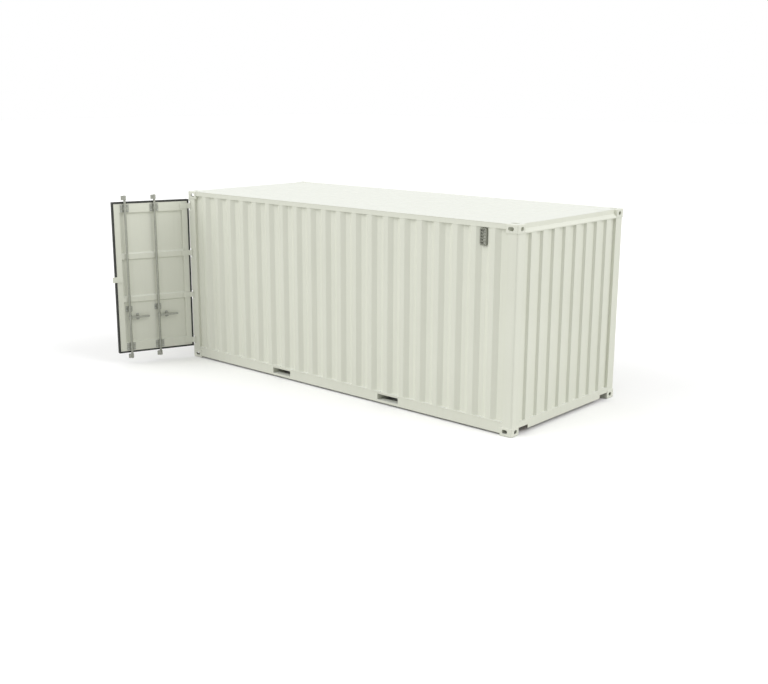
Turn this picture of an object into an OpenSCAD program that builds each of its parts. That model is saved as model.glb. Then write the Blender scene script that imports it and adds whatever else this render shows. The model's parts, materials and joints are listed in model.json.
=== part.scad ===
// Twenty foot dry freight container with corrugated steel walls and two hinged cargo doors.
// The closed front end faces +X, the doors face -X, the right-hand side faces -Y.
// The origin lies midway between the four bottom corner castings, on the plane they stand on.

/* [Overall size] */
// Length over the corner castings
length = 6058; // [4000:1:13000]
// Width over the corner castings
width = 2438; // [2200:1:2600]
// Height over the corner castings
height = 2591; // [2300:1:3000]

/* [Corner castings] */
// Length of a casting along the container
casting_length = 178; // [150:1:220]
// Width of a casting across the container
casting_width = 162; // [140:1:200]
// Height of a casting
casting_height = 118; // [100:1:140]
// Rounding of the casting edges
casting_radius = 13; // [4:1:20]
// Thickness of the plate with the long aperture
casting_plate = 28; // [20:1:36]
// Thickness of the upright casting faces
casting_wall = 16; // [10:1:24]
// Length of the top and bottom apertures
aperture_length = 124.5; // [100:0.5:140]
// Width of the top and bottom apertures
aperture_width = 63.5; // [50:0.5:75]
// Distance of the aperture centres from the end of the container
aperture_inset_x = 102.5; // [90:0.5:110]
// Distance of the aperture centres from the side of the container
aperture_inset_y = 89.5; // [80:0.5:100]
// Width of the aperture in the long side of a casting
side_aperture_width = 80; // [60:1:100]
// Width of the aperture in the end of a casting
end_aperture_width = 63.5; // [50:0.5:90]
// Height of the upright apertures
upright_aperture_height = 51; // [40:1:60]

/* [Posts and rails] */
// How far the posts stand inside the casting faces
post_inset = 4; // [1:1:12]
// Steel thickness of the posts
post_thickness = 6; // [4:0.5:8]
// Width of a post seen from the side of the container
post_side = 140; // [100:1:190]
// Width of a front post seen from the front
front_post_face = 170; // [120:1:240]
// Outer rounding of the front posts
front_post_radius = 26; // [10:1:40]
// Thickness of the inner rear post channel
inner_post_thickness = 10; // [6:1:14]
// Length of the inner rear post channel along the container
inner_post_length = 113; // [90:1:140]
// How far the top rails and walls stand inside the casting faces
rail_inset = 8; // [4:1:20]
// Height of the bottom side rails
bottom_rail_height = 146; // [120:1:200]
// Height of the underside of the bottom side rails
bottom_rail_z = 26; // [12:1:40]
// Width of the upper flange of the bottom side rails
bottom_rail_flange = 52; // [48:1:70]
// Width of the lower flange of the bottom side rails
bottom_rail_toe = 30; // [20:1:45]
// How far the upper edge of the bottom side rails stands out past the web
bottom_rail_lip = 6; // [2:1:12]
// Height of that edge
bottom_rail_edge = 14; // [8:1:24]
// Steel thickness of the bottom side rails
bottom_rail_thickness = 4.5; // [3:0.5:6]
// Side of the square tubes along the top edges
top_tube = 60; // [40:1:80]
// Wall thickness of the square tubes
top_tube_wall = 3; // [2:0.5:6]
// Drop of the roof edge below the top of the castings
roof_drop = 6; // [6:1:20]

/* [Front end] */
// Height of the underside of the front sill
front_sill_z = 50; // [20:1:80]
// Height of the top of the front sill
front_sill_top = 167; // [140:1:180]
// Steel thickness of the front sill
front_sill_thickness = 4; // [3:0.5:8]
// Width of the cut-out at each end of the front sill
sill_notch_width = 195; // [100:1:300]
// Height of the cut-out at each end of the front sill
sill_notch_height = 45; // [20:1:60]
// Height of the set back plate under the front edge of the roof
front_band = 55; // [30:1:90]
// Set back of that plate behind the front of the header
front_band_setback = 36; // [10:1:50]
// Height of the sloping ledge of the front header
front_ledge = 40; // [20:1:60]
// Height of the upright lip of the front header
front_lip = 13; // [8:1:40]

/* [Corrugated walls] */
// Sheet thickness of walls, roof and door panels
sheet = 2; // [1.6:0.1:4]
// Distance between the ribs of the side walls
side_pitch = 280.4; // [200:0.1:400]
// Depth of the ribs of the side walls
side_depth = 36; // [20:1:38]
// Width of the outer flat of a side wall rib
side_flat = 72; // [40:1:110]
// Width of each slope of a side wall rib
side_slope = 68; // [30:1:72]
// Distance between the ribs of the front wall
front_pitch = 248; // [180:1:320]
// Depth of the ribs of the front wall
front_depth = 32; // [20:1:48]
// Width of the outer flat of a front wall rib
front_flat = 108; // [60:1:130]
// Width of each slope of a front wall rib
front_slope = 18; // [10:1:40]
// Distance between the pressed troughs of the roof
roof_pitch = 209; // [160:1:300]
// Depth of the pressed troughs of the roof
roof_depth = 6; // [4:1:20]
// Width of a roof trough at the top
roof_trough = 118; // [80:1:140]
// Run of the sloping sides of a roof trough
roof_slope = 13; // [8:1:30]
// Distance of the ends of the roof troughs from the top rails
roof_margin = 56; // [30:1:120]
// Length of the guard plates on the roof beside the top castings
roof_plate_length = 300; // [150:1:500]
// Reach of the guard plates across the roof
roof_plate_reach = 230; // [120:1:400]
// Overlap of the guard plates past the top rails
roof_plate_overlap = 40; // [20:1:50]
// Thickness of the guard plates
roof_plate = 3; // [2:0.5:4]

/* [Base] */
// Height of the crossmembers, which stand on the lower flanges of the rails
crossmember_height = 110; // [105:1:120]
// Width of the crossmember flanges
crossmember_flange = 45; // [30:1:60]
// Steel thickness of the crossmembers
crossmember_thickness = 4; // [3:0.5:6]
// Distance between crossmembers
crossmember_pitch = 280; // [220:1:340]
// Thickness of the plywood floor
floor_thickness = 28; // [20:1:32]
// Distance between the centres of the fork pockets
pocket_spacing = 2050; // [1600:1:2400]
// Width of a fork pocket
pocket_width = 360; // [300:1:420]
// Height of a fork pocket
pocket_height = 80; // [60:1:95]
// Thickness of the top plate and the strap plates of a fork pocket
pocket_plate = 3; // [2:0.5:5]
// Depth of the strap plate under each mouth of a fork pocket
pocket_strap = 100; // [60:1:300]

/* [Vents] */
// Width of a vent hood
vent_width = 100; // [70:1:120]
// Height of a vent hood
vent_height = 212; // [120:1:260]
// Depth of a vent hood
vent_depth = 31; // [15:1:34]
// Rounding of the corners of a vent hood
vent_radius = 24; // [8:1:34]
// Wall thickness of a vent hood
vent_wall = 3; // [2:0.5:5]
// Border round the slots of a vent hood
vent_border = 14; // [8:1:24]
// Gap between a vent hood and the slopes of its recess
vent_seat = 0.3; // [0.2:0.1:2]
// Gap between a vent hood and the top rail
vent_drop = 12; // [4:1:60]
// Number of slots in a vent hood
vent_slots = 5; // [3:1:8]

/* [Doorway] */
// Set back of the rear post face behind the castings
rear_post_setback = 48; // [44:1:60]
// Width of the rear face of the outer rear post
rear_post_face = 25; // [22:1:40]
// Gap between the lip of a rear post and the ends of a hinge pin
hinge_notch = 5; // [4:1:20]
// Set back of the door stop behind the castings
stop_setback = 117; // [112:1:140]
// Height of the step of the door sill
door_sill_top = 158; // [130:1:165]
// Height of the door stop over that step
sill_stop = 22; // [15:1:30]
// Steel thickness of the door sill and the door header
door_sill_thickness = 5; // [3:0.5:8]
// Depth of the door sill and the door header along the container
door_sill_depth = 165; // [150:1:200]
// Drop of the door stop under the door header
header_stop = 30; // [20:1:50]
// Half the width of a recess for a lock bar cam
recess_half = 75; // [68:1:95]
// Depth of a recess for a lock bar cam
recess_depth = 94; // [90:1:105]
// Height of the cam recess in the header
header_recess = 97; // [90:1:100]
// Depth of the cam recess in the sill
sill_recess = 90; // [85:1:110]

/* [Doors] */
// Opening of the right-hand door from shut
door_open = 160; // [0:1:262]
// Opening of a door when it is swung right round
door_limit = 262; // [200:1:264]
// Set back of the outer door face behind the castings
door_setback = 60; // [56:1:72]
// Thickness of a door frame
door_thickness = 50; // [40:1:52]
// Width of the door frame stiles
stile = 100; // [70:1:130]
// Height of the door frame rails
door_rail = 150; // [100:1:190]
// Wall thickness of the door frame tubes
door_tube_wall = 3; // [2:0.5:6]
// Gap between a gasket and the steel round it
door_gap = 6; // [5:0.5:10]
// Gap between the top and bottom of a gasket and the steel there
door_lift = 9; // [6:0.5:20]
// Half the gap between the gaskets of the two doors
door_meeting = 5; // [3:0.5:8]
// Reach of the gasket past the door frame
gasket_reach = 12; // [8:1:20]
// Cover of the gasket over the face of the door frame
gasket_cover = 14; // [8:1:20]
// Thickness of the gasket flap
gasket_flap = 3; // [2:0.5:4]
// Thickness of the gasket lip on the inner side
gasket_lip = 2; // [1:0.5:2]
// Set back of the door panel behind the door face
panel_setback = 27; // [26:1:34]
// Rise of the two pressed ribs of a door panel
panel_rib = 24; // [12:1:26]
// Height of a pressed rib of a door panel
panel_rib_height = 118; // [70:1:140]
// Height of each sloping side of a pressed rib
panel_rib_slope = 22; // [8:1:30]

/* [Hinges] */
// Distance of the end hinges from the ends of the door frame
hinge_margin = 87; // [60:1:200]
// Distance between the middle hinges, which are level with the ribs of the door panels
hinge_middle = 654; // [400:1:900]
// Set back of the hinge pins behind the rear face of the castings
pin_setback = 24; // [22:1:26]
// Set in of the hinge pins from the side face of the castings
pin_inset = 18; // [17:1:20]
// Radius of the hinge pins
pin_radius = 9; // [7:0.5:11]
// Radius of the hinge knuckles and lugs
knuckle_radius = 16; // [14:0.5:17]
// Height of a hinge knuckle
knuckle_height = 80; // [50:1:110]
// Height of a hinge lug
lug_height = 16; // [10:1:24]
// Play of the hinge blades on the pins
pin_play = 0.5; // [0.3:0.1:1]
// Play between a knuckle and the lugs over and under it
knuckle_play = 3; // [1:0.5:5]
// Thickness of a hinge blade on the door
blade_thickness = 11; // [8:1:14]
// Thickness of the cranked arm of a hinge blade
blade_arm = 9; // [6:0.5:10]
// Reach of a hinge blade from the pin over the door
blade_reach = 156; // [110:1:200]

/* [Lock gear] */
// Distances of the two lock bars of a door from the middle of the doorway
bar_offsets = [194, 642]; // [100:1:1000]
// Radius of the lock bars
bar_radius = 17; // [12:0.5:19]
// Set back of the lock bars behind the castings
bar_setback = 30; // [28:1:32]
// Play of the lock bars in their brackets
bar_play = 0.5; // [0.3:0.1:1.5]
// Height of the foot of the lock bars
bar_foot = 86; // [84:1:100]
// Drop of the head of the lock bars below the top of the castings
bar_head_drop = 30; // [30:1:50]
// Stub of a lock bar past its cams
bar_end = 4; // [2:1:6]
// Height of a cam
cam_height = 62; // [40:1:64]
// Reach of a cam nose from the axis of its bar
cam_reach = 55; // [40:1:58]
// Radius of a cam hub
cam_hub = 24; // [21:1:28]
// Radius of a cam nose
cam_nose = 13; // [8:1:18]
// Play of a cam nose between the keeper jaws
keeper_play = 7; // [5:0.5:9]
// Set back of the keeper jaws inside their recess
keeper_inset = 6; // [3:1:10]
// Bevel of the keeper jaws
keeper_bevel = 20; // [8:1:28]
// Height of the handles
handle_height = 716; // [600:1:740]
// Length of a handle from the axis of its bar
handle_length = 300; // [200:1:400]
// Width of a handle lever
handle_width = 30; // [20:1:45]
// Thickness of a handle lever
handle_thickness = 12; // [8:1:16]
// Height of the hub of a handle
handle_hub = 64; // [45:1:90]
// Wall thickness of the hub of a handle
handle_hub_wall = 8; // [5:1:12]
// Distance of a handle catch from the axis of its bar
catch_reach = 126; // [90:1:180]
// Play of a handle in its catch
catch_play = 6; // [5:0.5:10]
// Width of a handle catch
catch_width = 36; // [24:1:60]
// Thickness of the prongs of a handle catch
catch_prong = 8; // [5:1:12]
// Reach of the foot of a handle catch past its prongs
catch_foot = 16; // [8:1:30]
// Shift of the end brackets from the middle of the door frame rails
bracket_inward = 10; // [0:1:16]
// Height of the middle brackets over the handles
bracket_over_handle = 126; // [100:1:180]
// Width of the brackets on the door frame rails
bracket_width = 130; // [90:1:160]
// Height of the brackets on the door frame rails
bracket_height = 112; // [80:1:116]
// Width of the middle brackets on the door panels
middle_bracket_width = 104; // [70:1:140]
// Height of the middle brackets on the door panels
middle_bracket_height = 84; // [60:1:100]
// Thickness of the bracket plates
bracket_plate = 6; // [3:0.5:8]
// Height of the guide that holds a bar
guide_height = 46; // [30:1:70]
// Wall of the guide that holds a bar
guide_wall = 5; // [3:0.5:6]
// Height of the overlap plate at the free edge of the right-hand door
overlap_height = 1304; // [1000:1:1500]
// Size of the overlap plate
overlap_size = 84; // [50:1:120]
// Thickness of the overlap plate
overlap_plate_thickness = 8; // [5:1:12]
// Reach of the overlap plate past the middle of the doorway
overlap_reach = 38; // [20:1:60]

/* [Hidden] */
$fn = 48;
eps = 1;
half_length = length / 2;
half_width = width / 2;
steel_x = half_length - post_inset;
post_d = half_width - post_inset;
rail_d = half_width - rail_inset;
rail_x = half_length - casting_length;
casting_d = half_width - casting_width;
casting_top = height - casting_height;
roof_z = height - roof_drop - sheet;
tube_z = roof_z - top_tube;
rail_top = bottom_rail_z + bottom_rail_height;
rail_face_d = post_d - bottom_rail_lip;
web_d = rail_face_d - bottom_rail_thickness;
floor_d = post_d - bottom_rail_flange;
wall_x = steel_x - post_side;
wall_inner_d = rail_d - side_depth;
lip_d = wall_inner_d - 2 * sheet;
front_wall_d = post_d - front_post_face;
front_wall_x = half_length - rail_inset;
front_inner_x = front_wall_x - front_depth;
lip_x = front_inner_x - 2 * sheet;
front_header_z = roof_z - front_band - front_ledge - front_lip;
band_x = steel_x - front_band_setback;
crossmember_z = bottom_rail_z + bottom_rail_thickness;
floor_z = crossmember_z + crossmember_height;
pocket_z = floor_z - pocket_plate - pocket_height;
rear_x = steel_x;
stop_x = half_length - stop_setback;
rear_post_x = half_length - rear_post_setback;
rebate_d = post_d - rear_post_face;
inner_post_d = wall_inner_d - sheet - inner_post_thickness;
sill_x = rear_x - door_sill_depth;
door_x = half_length - door_setback;
door_inner_x = door_x - door_thickness;
panel_x = door_x - panel_setback;
leaf_d = rebate_d - door_gap - gasket_reach;
leaf_mid = door_meeting + gasket_reach;
leaf_z = door_sill_top + door_lift + gasket_reach;
leaf_top = casting_top - door_lift - gasket_reach;
pin_x = half_length - pin_setback;
pin_d = half_width - pin_inset;
leaf_middle = (leaf_z + leaf_top) / 2;
hinge_heights = [leaf_z + hinge_margin, leaf_middle - hinge_middle / 2,
    leaf_middle + hinge_middle / 2, leaf_top - hinge_margin];
knuckle_reach = knuckle_height / 2 + knuckle_play;
pin_reach = knuckle_reach + lug_height + knuckle_play;
bar_x = half_length - bar_setback;
bar_head = height - bar_head_drop;
jaw_half = cam_reach + keeper_play;
side_ribs = floor((2 * wall_x - side_flat - 2 * side_slope) / side_pitch) + 1;
front_ribs = floor((2 * front_wall_d - front_flat - 2 * front_slope) / front_pitch) + 1;
roof_troughs = floor((2 * rail_x - roof_trough) / roof_pitch);
vent_x = (side_ribs / 2 - 1) * side_pitch;
vent_z = tube_z - vent_drop - vent_height;

paint = [0.83, 0.84, 0.79];
zinc = [0.58, 0.59, 0.56];
rubber = [0.15, 0.15, 0.14];
timber = [0.60, 0.45, 0.29];
moulding = [0.30, 0.31, 0.29];

// A block given by its lowest and highest corners
module block(a, b) {
    translate(a)
        cube(b - a);
}

// A flat plate given by its lowest and highest corners
module plate(a, b) {
    translate(a)
        square(b - a);
}

// A section in Y and Z drawn out along X
module along_x(x0, x1) {
    translate([x0, 0, 0])
        rotate([90, 0, 90])
            linear_extrude(height = x1 - x0)
                children();
}

// A section in X and Z drawn out along Y
module along_y(y0, y1) {
    translate([0, y1, 0])
        rotate([90, 0, 0])
            linear_extrude(height = y1 - y0)
                children();
}

// A plan in X and Y drawn out along Z
module upright(z0, z1) {
    translate([0, 0, z0])
        linear_extrude(height = z1 - z0)
            children();
}

// The other side of the container
module on_right() {
    mirror([0, 1, 0])
        children();
}

// The door end of the container
module at_rear() {
    mirror([1, 0, 0])
        children();
}

// All four corners of the container
module each_corner() {
    for (x = [0, 1])
        for (y = [0, 1])
            mirror([x, 0, 0])
                mirror([0, y, 0])
                    children();
}

// The right-hand door, swung open from shut
module right_leaf() {
    translate([-pin_x, -pin_d, 0])
        rotate([0, 0, door_open])
            translate([pin_x, pin_d, 0])
                on_right()
                    at_rear()
                        children();
}

// The left-hand door, shut
module left_leaf() {
    at_rear()
        children();
}

// A rectangle with rounded corners
module rounded(a, b, r) {
    translate([r, 0])
        square([a - 2 * r, b]);
    translate([0, r])
        square([a, b - 2 * r]);
    for (x = [r, a - r])
        for (y = [r, b - r])
            translate([x, y])
                circle(r = r);
}

// A long hole with round ends
module long_hole(a, b) {
    square([a - b, b], center = true);
    for (x = [-1, 1])
        translate([x * (a - b) / 2, 0])
            circle(r = b / 2);
}

// A rectangle whose far corner is rounded
module rounded_far_corner(a, b, r) {
    difference() {
        plate(a, b);
        translate([b[0] - r, b[1] - r])
            difference() {
                square([r + eps, r + eps]);
                circle(r = r);
            }
    }
}

// Corner casting
module casting_block() {
    intersection() {
        linear_extrude(height = casting_height)
            rounded(casting_length, casting_width, casting_radius);
        rotate([90, 0, 90])
            linear_extrude(height = casting_length)
                rounded(casting_width, casting_height, casting_radius);
        translate([0, casting_width, 0])
            rotate([90, 0, 0])
                linear_extrude(height = casting_width)
                    rounded(casting_length, casting_height, casting_radius);
    }
}

module casting() {
    difference() {
        casting_block();
        block([casting_wall, casting_wall, casting_plate],
            [casting_length - casting_wall, casting_width - casting_wall, casting_height - casting_wall]);
        translate([aperture_inset_x, aperture_inset_y, -eps])
            linear_extrude(height = casting_plate + 2 * eps)
                long_hole(aperture_length, aperture_width);
        translate([aperture_inset_x, casting_wall + eps, casting_height / 2])
            rotate([90, 0, 0])
                linear_extrude(height = casting_wall + 2 * eps)
                    long_hole(side_aperture_width, upright_aperture_height);
        translate([-eps, aperture_inset_y, casting_height / 2])
            rotate([90, 0, 90])
                linear_extrude(height = casting_wall + 2 * eps)
                    long_hole(end_aperture_width, upright_aperture_height);
    }
}

module bottom_castings() {
    color(paint)
        each_corner()
            translate([half_length, half_width, 0])
                rotate([0, 0, 180])
                    casting();
}

module top_castings() {
    color(paint)
        each_corner()
            translate([half_length, half_width, height])
                rotate([0, 0, 180])
                    mirror([0, 0, 1])
                        casting();
}

// Bottom side rails, channels open to the inside, with the mouths of the fork pockets
module bottom_rail() {
    difference() {
        union() {
            along_x(-rail_x, rail_x) {
                plate([web_d, bottom_rail_z], [rail_face_d, rail_top]);
                plate([rail_face_d - bottom_rail_toe, bottom_rail_z], [rail_face_d, crossmember_z]);
            }
            along_x(-wall_x, wall_x) {
                plate([web_d, casting_height], [rail_face_d, rail_top]);
                plate([web_d, rail_top - bottom_rail_edge], [post_d, rail_top]);
                plate([floor_d, rail_top - bottom_rail_thickness], [post_d, rail_top]);
            }
        }
        for (side = [-1, 1])
            translate([side * pocket_spacing / 2, 0, 0])
                block([-pocket_width / 2, web_d - eps, pocket_z],
                    [pocket_width / 2, rail_face_d + eps, pocket_z + pocket_height]);
    }
}

module bottom_right_rail() {
    color(paint)
        on_right()
            bottom_rail();
}

module bottom_left_rail() {
    color(paint)
        bottom_rail();
}

// Top side rails
module top_rail() {
    along_x(-rail_x, rail_x)
        difference() {
            plate([rail_d - top_tube, tube_z], [rail_d, roof_z]);
            plate([rail_d - top_tube + top_tube_wall, tube_z + top_tube_wall],
                [rail_d - top_tube_wall, roof_z - top_tube_wall]);
        }
}

module top_right_rail() {
    color(paint)
        on_right()
            top_rail();
}

module top_left_rail() {
    color(paint)
        top_rail();
}

// Front posts, a lipped angle open to the inside
module front_post() {
    upright(casting_height, casting_top)
        difference() {
            union() {
                rounded_far_corner([wall_x, lip_d], [steel_x, post_d], front_post_radius);
                rounded_far_corner([lip_x, front_wall_d], [steel_x, post_d], front_post_radius);
            }
            rounded_far_corner([wall_x + post_thickness, lip_d - eps],
                [steel_x - post_thickness, post_d - post_thickness], front_post_radius - post_thickness);
            rounded_far_corner([lip_x - eps, front_wall_d + post_thickness],
                [steel_x - post_thickness, post_d - post_thickness], front_post_radius - post_thickness);
        }
}

module front_right_post() {
    color(paint)
        on_right()
            front_post();
}

module front_left_post() {
    color(paint)
        front_post();
}

// Rear posts, an outer section with the door rebate and an inner channel with the door stop.
// The lip of the outer section runs on to the rear face and is cut away at the hinges.
module rear_post_lip() {
    root_x = rear_post_x - 2 * post_thickness;
    difference() {
        block([root_x, post_d - post_thickness, casting_height], [rear_x, post_d, casting_top]);
        for (z = hinge_heights)
            block([root_x - eps, rebate_d, z - pin_reach - hinge_notch],
                [half_length, half_width, z + pin_reach + hinge_notch]);
    }
}

module rear_post() {
    rear_post_lip();
    upright(casting_height, casting_top) {
        difference() {
            rounded_far_corner([wall_x, lip_d], [rear_post_x, post_d], 2 * post_thickness);
            rounded_far_corner([wall_x + post_thickness, lip_d - eps],
                [rear_post_x - post_thickness, post_d - post_thickness], post_thickness);
            plate([stop_x, lip_d - eps], [rear_post_x + eps, rebate_d]);
        }
        plate([stop_x - inner_post_thickness, rebate_d], [rear_post_x - post_thickness, rebate_d + post_thickness]);
        plate([stop_x - inner_post_thickness, inner_post_d], [stop_x, rebate_d + post_thickness]);
        plate([wall_x, inner_post_d], [stop_x, inner_post_d + inner_post_thickness]);
    }
    upright(rail_top, casting_top)
        plate([stop_x - inner_post_length, inner_post_d], [stop_x, inner_post_d + inner_post_thickness]);
}

module rear_right_post() {
    color(paint)
        on_right()
            at_rear()
                rear_post();
}

module rear_left_post() {
    color(paint)
        at_rear()
            rear_post();
}

// Front sill with a cut-out beside each casting
module front_sill_section() {
    plate([steel_x - front_sill_thickness, front_sill_z], [steel_x, front_sill_top]);
    plate([lip_x, front_sill_top - front_sill_thickness], [steel_x, front_sill_top]);
    plate([lip_x, front_sill_z], [steel_x, front_sill_z + front_sill_thickness]);
}

module front_sill() {
    color(paint)
        difference() {
            union() {
                along_y(-front_wall_d, front_wall_d)
                    front_sill_section();
                along_y(-casting_d, casting_d)
                    intersection() {
                        front_sill_section();
                        plate([0, 0], [length, casting_height]);
                    }
            }
            for (side = [0, 1])
                mirror([0, side, 0])
                    block([lip_x - eps, casting_d - sill_notch_width, front_sill_z - eps],
                        [half_length, casting_d + eps, front_sill_z + sill_notch_height]);
        }
}

// Front header, a box with a sloping ledge and a set back plate over it
module front_header_form(inset) {
    back = steel_x - top_tube + inset;
    front = steel_x - inset;
    foot = front_header_z + inset;
    head = roof_z - front_band - inset;
    lip = front_header_z + front_lip - inset;
    polygon([[back, foot], [front, foot], [front, lip], [band_x - inset, head], [back, head]]);
}

module front_header_section() {
    difference() {
        front_header_form(0);
        front_header_form(top_tube_wall);
    }
    plate([band_x - front_sill_thickness, roof_z - front_band - top_tube_wall], [band_x, roof_z]);
}

module front_header() {
    color(paint) {
        along_y(-front_wall_d, front_wall_d)
            front_header_section();
        along_y(-casting_d, casting_d)
            intersection() {
                front_header_section();
                plate([0, casting_top], [length, height]);
            }
    }
}

// Recesses for the lock bar cams, grown by the thickness of their lining
module cam_recesses(z0, z1, grow) {
    for (side = [0, 1])
        mirror([0, side, 0])
            for (offset = bar_offsets)
                block([rear_x - recess_depth - grow, offset - recess_half - grow, z0 - grow],
                    [rear_x + eps, offset + recess_half + grow, z1 + grow]);
}

// Door sill
module door_sill() {
    t = door_sill_thickness;
    color(paint)
        at_rear()
            difference() {
                union() {
                    along_y(-casting_d, casting_d)
                        plate([sill_x, bottom_rail_z], [rear_x, door_sill_top]);
                    along_y(-inner_post_d, inner_post_d)
                        plate([sill_x, casting_height], [stop_x, door_sill_top + sill_stop]);
                    along_y(-rebate_d, rebate_d)
                        plate([stop_x, casting_height], [rear_x, door_sill_top]);
                }
                difference() {
                    along_y(-casting_d + t, casting_d - t)
                        union() {
                            plate([sill_x + t, bottom_rail_z + t], [rear_x - t, door_sill_top - t]);
                            plate([sill_x + t, bottom_rail_z + t], [stop_x - t, door_sill_top + sill_stop - t]);
                        }
                    cam_recesses(door_sill_top - sill_recess, door_sill_top, t);
                }
                cam_recesses(door_sill_top - sill_recess, door_sill_top + eps, 0);
            }
}

// Door header
module door_header() {
    t = door_sill_thickness;
    color(paint)
        at_rear()
            difference() {
                union() {
                    along_y(-casting_d, casting_d)
                        plate([sill_x, casting_top], [rear_x, roof_z]);
                    along_y(-inner_post_d, inner_post_d)
                        plate([sill_x, casting_top - header_stop], [stop_x, casting_top]);
                }
                difference() {
                    along_y(-casting_d + t, casting_d - t)
                        union() {
                            plate([sill_x + t, casting_top + t], [rear_x - t, roof_z - t]);
                            plate([sill_x + t, casting_top - header_stop + t], [stop_x - t, roof_z - t]);
                        }
                    cam_recesses(casting_top, casting_top + header_recess, t);
                }
                cam_recesses(casting_top - eps, casting_top + header_recess, 0);
            }
}

// A sheet with upright ribs, given the ends, the inner face, the ribs and their measures
function rib_line(half, inner, count, pitch, depth, flat, slope) = concat(
    [[-half, inner]],
    [for (i = [0 : count - 1], p = [
        [-flat / 2 - slope, 0], [-flat / 2, depth], [flat / 2, depth], [flat / 2 + slope, 0]
    ]) [(i - (count - 1) / 2) * pitch + p[0], inner + p[1]]],
    [[half, inner]]
);

function behind(line) = [for (i = [len(line) - 1 : -1 : 0]) line[i] - [0, sheet]];

module ribbed_plan(line) {
    polygon(concat(line, behind(line)));
}

// Side walls
module side_wall() {
    line = rib_line(wall_x, wall_inner_d, side_ribs, side_pitch, side_depth, side_flat, side_slope);
    difference() {
        upright(rail_top, tube_z)
            ribbed_plan(line);
        for (end = [0, 1])
            mirror([end, 0, 0])
                block([rail_x, casting_d, casting_top], [length, width, height]);
    }
}

module right_side_wall() {
    color(paint)
        on_right()
            side_wall();
}

module left_side_wall() {
    color(paint)
        side_wall();
}

// Front wall
module front_wall() {
    color(paint)
        rotate([0, 0, -90])
            upright(front_sill_top, front_header_z)
                ribbed_plan(rib_line(front_wall_d, front_inner_x, front_ribs, front_pitch,
                    front_depth, front_flat, front_slope));
}

// Roof sheet with pressed troughs across it
module roof_trough_form(z0, z1, grow) {
    run = roof_slope / roof_depth;
    lip = roof_z + sheet;
    x0 = roof_trough / 2 + grow - (lip - z0) * run;
    x1 = roof_trough / 2 + grow - (lip - z1) * run;
    y0 = rail_d - top_tube - roof_margin + grow - (lip - z0) * run;
    y1 = rail_d - top_tube - roof_margin + grow - (lip - z1) * run;
    intersection() {
        along_y(-y1, y1)
            polygon([[-x0, z0], [x0, z0], [x1, z1], [-x1, z1]]);
        along_x(-x1, x1)
            polygon([[-y0, z0], [y0, z0], [y1, z1], [-y1, z1]]);
    }
}

module each_roof_trough() {
    for (i = [0 : roof_troughs - 1])
        translate([(i - (roof_troughs - 1) / 2) * roof_pitch, 0, 0])
            children();
}

module roof() {
    color(paint)
        difference() {
            union() {
                difference() {
                    block([-rear_x + post_inset, -rail_d, roof_z], [band_x, rail_d, roof_z + sheet]);
                    each_corner()
                        block([rail_x, casting_d, roof_z - eps], [length, width, height]);
                }
                each_roof_trough()
                    roof_trough_form(roof_z - roof_depth, roof_z + sheet / 2, sheet);
            }
            each_roof_trough()
                roof_trough_form(roof_z + sheet - roof_depth, roof_z + sheet + eps, 0);
        }
}

// Plates that guard the roof beside the top castings
module roof_corner_plates() {
    color(paint)
        each_corner()
            upright(roof_z + sheet, roof_z + sheet + roof_plate) {
                plate([rail_x - roof_plate_length, rail_d - top_tube - roof_plate_overlap], [rail_x, rail_d]);
                plate([rail_x - roof_plate_overlap, casting_d - roof_plate_reach], [band_x, casting_d]);
                plate([rail_x - roof_plate_overlap, casting_d - roof_plate_overlap], [rail_x, rail_d]);
            }
}

// Crossmembers under the floor
module crossmember() {
    along_y(-web_d, web_d) {
        plate([0, crossmember_z], [crossmember_thickness, floor_z]);
        plate([0, floor_z - crossmember_thickness], [crossmember_flange, floor_z]);
        plate([0, crossmember_z], [crossmember_flange, crossmember_z + crossmember_thickness]);
    }
}

module crossmembers() {
    inner = floor((pocket_spacing / 2 - pocket_width / 2 - 2 * crossmember_flange) / crossmember_pitch);
    first = (pocket_spacing + pocket_width) / 2 + crossmember_pitch;
    outer = floor((rail_x - crossmember_flange - first) / crossmember_pitch);
    color(paint) {
        for (i = [-inner : inner])
            translate([i * crossmember_pitch - crossmember_flange / 2, 0, 0])
                crossmember();
        for (side = [0, 1])
            mirror([side, 0, 0])
                for (i = [0 : outer])
                    translate([first + i * crossmember_pitch, 0, 0])
                        crossmember();
    }
}

// Fork pockets, right through the base
module fork_pocket() {
    half = pocket_width / 2;
    t = crossmember_thickness;
    along_y(-web_d, web_d) {
        for (side = [0, 1])
            mirror([side, 0]) {
                plate([half, crossmember_z], [half + t, floor_z]);
                plate([half, floor_z - t], [half + crossmember_flange, floor_z]);
                plate([half, crossmember_z], [half + crossmember_flange, crossmember_z + t]);
            }
        plate([-half - eps, pocket_z + pocket_height], [half + eps, floor_z]);
    }
    for (side = [0, 1])
        mirror([0, side, 0])
            block([-half - eps, web_d - pocket_strap, pocket_z - pocket_plate], [half + eps, web_d, pocket_z]);
}

module fork_pockets() {
    color(paint)
        for (side = [-1, 1])
            translate([side * pocket_spacing / 2, 0, 0])
                fork_pocket();
}

// Plywood floor
module plywood_floor() {
    color(timber)
        block([-sill_x, -floor_d, floor_z], [lip_x, floor_d, floor_z + floor_thickness]);
}

// Vent hoods in the recesses of the side walls, their backs shaped to the recess
module vent_plan(margin) {
    back = (side_pitch - side_flat) / 2 - side_slope - margin;
    front = vent_width / 2 - margin;
    flare = wall_inner_d + max(0, front - back) * side_depth / side_slope;
    polygon([[-back, wall_inner_d], [-front, flare], [-front, wall_inner_d + vent_depth],
        [front, wall_inner_d + vent_depth], [front, flare], [back, wall_inner_d]]);
}

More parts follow.
